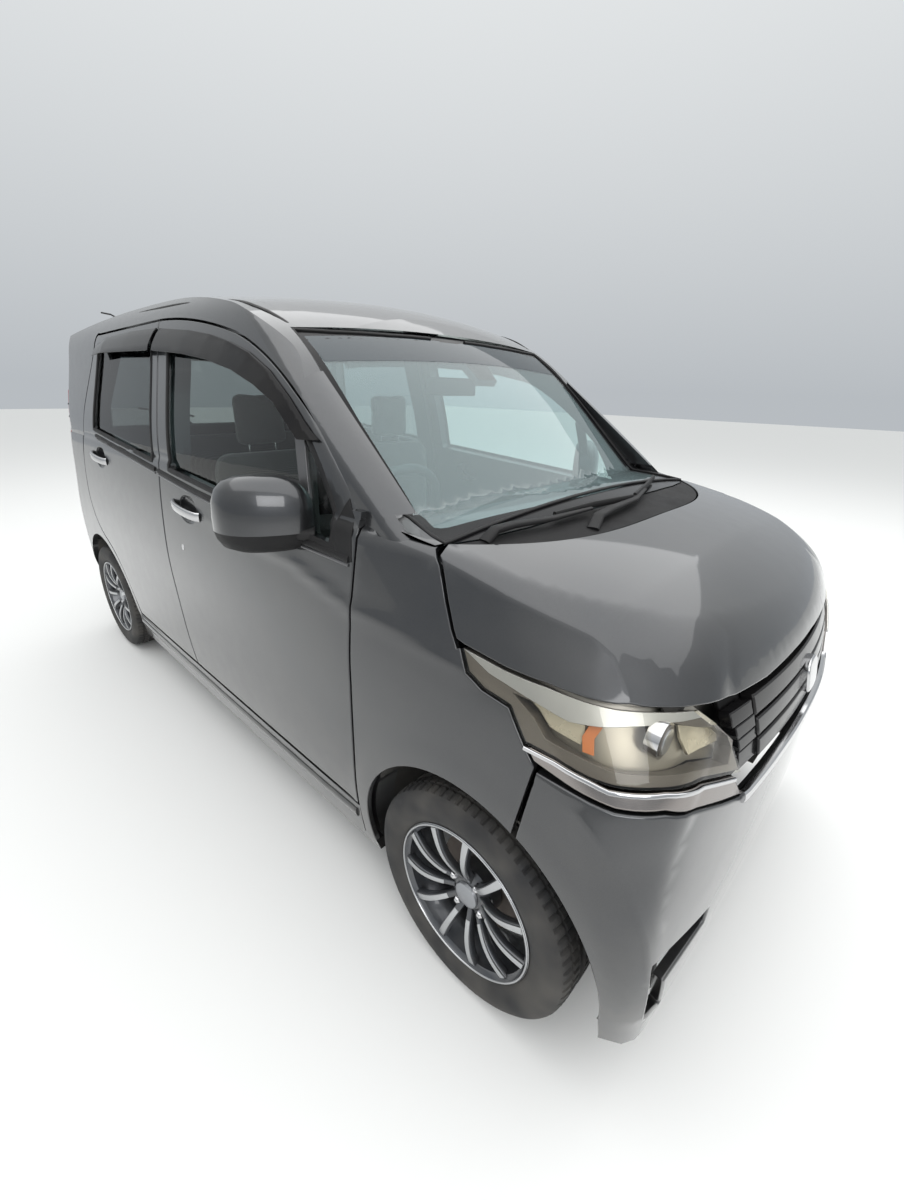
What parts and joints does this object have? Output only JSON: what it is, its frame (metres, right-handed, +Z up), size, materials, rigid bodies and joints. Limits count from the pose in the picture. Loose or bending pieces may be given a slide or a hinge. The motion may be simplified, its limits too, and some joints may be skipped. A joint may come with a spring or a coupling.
{
  "type": "kei car",
  "caption": "Small upright car with hinged doors, hood and tailgate, steered front wheels and a hollow cabin with seats.",
  "frame": {"origin": "on the ground, at the middle of the car's length and width", "axes": "+X forward, +Y to the car's left side, +Z up"},
  "size_m": [3.3934, 1.706, 1.655],
  "materials": {
    "body_paint": "gloss",
    "black_trim": "matte",
    "grille_black": "gloss",
    "lamp_lens": "gloss",
    "tail_lens": "gloss",
    "window_glass": "gloss",
    "underbody": "matte",
    "cabin_plastic": "matte",
    "seat_cloth": "matte",
    "engine_metal": "matte",
    "chassis_steel": "matte",
    "wheel_alloy": "satin",
    "tyre_rubber": "matte"
  },
  "bodies": {
    "car_body": {"body_sides": "body_paint", "roof_panel": "body_paint", "cowl": "black_trim", "front_fenders": "body_paint", "front_bumper": "body_paint", "grille": "grille_black", "headlamps": "lamp_lens", "windscreen": "window_glass", "rear_bumper": "body_paint", "tail_lamps": "tail_lens", "side_skirts": "body_paint", "floor_pan": "underbody", "front_seats": "seat_cloth", "rear_bench": "seat_cloth", "dashboard": "cabin_plastic", "engine_block": "engine_metal", "fuel_tank": "cabin_plastic", "exhaust": "chassis_steel", "front_suspension": "chassis_steel", "rear_axle": "chassis_steel"},
    "hood": {"hood": "body_paint"},
    "tailgate": {"tailgate": "body_paint", "tailgate_glass": "window_glass"},
    "steering_wheel": {"steering_wheel": "cabin_plastic"},
    "front_door_right": {"door_front_right": "body_paint", "glass_front_right": "window_glass", "mirror_right": "body_paint"},
    "rear_door_right": {"door_rear_right": "body_paint", "glass_rear_right": "window_glass"},
    "steering_knuckle_right": {"knuckle_right": "chassis_steel"},
    "wheel_front_right": {"tyre_front_right": "tyre_rubber", "rim_front_right": "wheel_alloy"},
    "wheel_rear_right": {"tyre_rear_right": "tyre_rubber", "rim_rear_right": "wheel_alloy"},
    "front_door_left": {"door_front_left": "body_paint", "glass_front_left": "window_glass", "mirror_left": "body_paint"},
    "rear_door_left": {"door_rear_left": "body_paint", "glass_rear_left": "window_glass"},
    "steering_knuckle_left": {"knuckle_left": "chassis_steel"},
    "wheel_front_left": {"tyre_front_left": "tyre_rubber", "rim_front_left": "wheel_alloy"},
    "wheel_rear_left": {"tyre_rear_left": "tyre_rubber", "rim_rear_left": "wheel_alloy"}
  },
  "joints": [
    {"name": "hood_hinge", "type": "hinge", "parent": "car_body", "child": "hood", "pos_m": [1.072, 0, 1.088], "axis": [0, -1, 0], "range_deg": [0, 50]},
    {"name": "tailgate_hinge", "type": "hinge", "parent": "car_body", "child": "tailgate", "pos_m": [-1.612, 0, 1.574], "axis": [0, 1, 0], "range_deg": [0, 80]},
    {"name": "front_door_right_hinge", "type": "hinge", "parent": "car_body", "child": "front_door_right", "pos_m": [0.8795, -0.7385, 0.7], "axis": [0, 0, 1], "range_deg": [0, 65]},
    {"name": "rear_door_right_hinge", "type": "hinge", "parent": "car_body", "child": "rear_door_right", "pos_m": [-0.243, -0.7385, 0.7], "axis": [0, 0, 1], "range_deg": [0, 72]},
    {"name": "steer_right", "type": "hinge", "parent": "car_body", "child": "steering_knuckle_right", "pos_m": [1.2475, -0.585, 0.185], "axis": [0, 0.1935, 0.9811], "range_deg": [-33, 33]},
    {"name": "roll_front_right", "type": "hinge", "parent": "steering_knuckle_right", "child": "wheel_front_right", "pos_m": [1.2475, -0.652, 0.278], "axis": [0, 1, 0], "continuous": true},
    {"name": "roll_rear_right", "type": "hinge", "parent": "car_body", "child": "wheel_rear_right", "pos_m": [-1.2725, -0.652, 0.278], "axis": [0, 1, 0], "continuous": true},
    {"name": "front_door_left_hinge", "type": "hinge", "parent": "car_body", "child": "front_door_left", "pos_m": [0.8795, 0.7385, 0.7], "axis": [0, 0, -1], "range_deg": [0, 65]},
    {"name": "rear_door_left_hinge", "type": "hinge", "parent": "car_body", "child": "rear_door_left", "pos_m": [-0.243, 0.7385, 0.7], "axis": [0, 0, -1], "range_deg": [0, 72]},
    {"name": "steer_left", "type": "hinge", "parent": "car_body", "child": "steering_knuckle_left", "pos_m": [1.2475, 0.585, 0.185], "axis": [0, -0.1935, 0.9811], "range_deg": [-33, 33]},
    {"name": "roll_front_left", "type": "hinge", "parent": "steering_knuckle_left", "child": "wheel_front_left", "pos_m": [1.2475, 0.652, 0.278], "axis": [0, 1, 0], "continuous": true},
    {"name": "roll_rear_left", "type": "hinge", "parent": "car_body", "child": "wheel_rear_left", "pos_m": [-1.2725, 0.652, 0.278], "axis": [0, 1, 0], "continuous": true},
    {"name": "steering_column", "type": "hinge", "parent": "car_body", "child": "steering_wheel", "pos_m": [0.56, -0.325, 0.975], "axis": [0.9, 0, -0.436], "range_deg": [-528, 528]}
  ],
  "couplings": [
    {"joint": "steer_left", "follows": "steer_right", "ratio": 1},
    {"joint": "steering_column", "follows": "steer_right", "ratio": -16}
  ]
}
